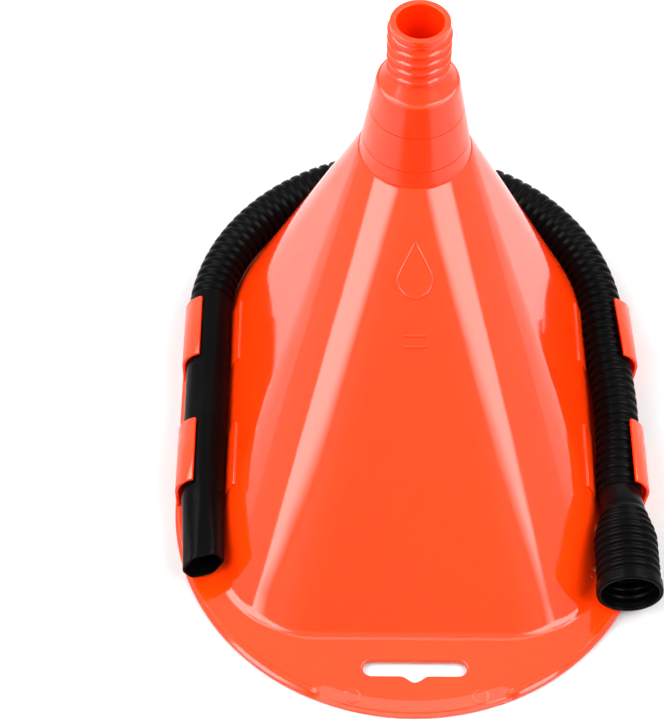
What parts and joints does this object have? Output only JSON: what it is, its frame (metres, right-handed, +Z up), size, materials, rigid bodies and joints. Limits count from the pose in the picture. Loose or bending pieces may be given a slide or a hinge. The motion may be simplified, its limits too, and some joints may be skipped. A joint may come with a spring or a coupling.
{
  "type": "funnel with flexible hose",
  "caption": "Offset pouring funnel with a wide flanged mouth, a threaded spout and a removable flexible hose held round it by moulded clips.",
  "frame": {"origin": "centre of the bounding box in plan, on the plane of the mouth rim that the funnel stands on", "axes": "+Z up along the spout; -Y towards the front flange with the hanging slot; +X to the right seen from the front"},
  "size_m": [0.162, 0.234, 0.1595],
  "materials": {
    "orange_polypropylene": "glossy injection moulded",
    "black_polyethylene": "satin blow moulded"
  },
  "bodies": {
    "funnel": {"rim_flange": "orange_polypropylene", "bowl": "orange_polypropylene", "spout_cone": "orange_polypropylene", "threaded_tip": "orange_polypropylene", "clip_pad_rear_left": "orange_polypropylene", "clip_pad_front_left": "orange_polypropylene", "clip_pad_rear_right": "orange_polypropylene", "clip_pad_front_right": "orange_polypropylene"},
    "clip_jaw_rear_left": {"clip_jaw_rear_left": "orange_polypropylene"},
    "clip_jaw_front_left": {"clip_jaw_front_left": "orange_polypropylene"},
    "clip_jaw_rear_right": {"clip_jaw_rear_right": "orange_polypropylene"},
    "clip_jaw_front_right": {"clip_jaw_front_right": "orange_polypropylene"},
    "hose": {"hose_nozzle": "black_polyethylene", "hose_bend": "black_polyethylene", "hose_run": "black_polyethylene", "hose_neck": "black_polyethylene", "hose_cuff": "black_polyethylene"}
  },
  "joints": [
    {"name": "hose_lift", "type": "slide", "parent": "funnel", "child": "hose", "axis": [0, 0, 1], "range_m": [0, 0.165], "deforming": ["clip_jaw_rear_left", "clip_jaw_front_left", "clip_jaw_rear_right", "clip_jaw_front_right"]},
    {"name": "rear_left_jaw_flex", "type": "hinge", "parent": "funnel", "child": "clip_jaw_rear_left", "pos_m": [-0.0791, 0.0284, 0.0031], "axis": [0, -1, 0], "range_deg": [0, 20], "stiffness_Nm_per_rad": 0.3},
    {"name": "front_left_jaw_flex", "type": "hinge", "parent": "funnel", "child": "clip_jaw_front_left", "pos_m": [-0.0791, -0.0247, 0.0031], "axis": [0, -1, 0], "range_deg": [0, 20], "stiffness_Nm_per_rad": 0.3},
    {"name": "rear_right_jaw_flex", "type": "hinge", "parent": "funnel", "child": "clip_jaw_rear_right", "pos_m": [0.0791, 0.0284, 0.0031], "axis": [0, 1, 0], "range_deg": [0, 20], "stiffness_Nm_per_rad": 0.3},
    {"name": "front_right_jaw_flex", "type": "hinge", "parent": "funnel", "child": "clip_jaw_front_right", "pos_m": [0.0791, -0.0247, 0.0031], "axis": [0, 1, 0], "range_deg": [0, 20], "stiffness_Nm_per_rad": 0.3}
  ]
}
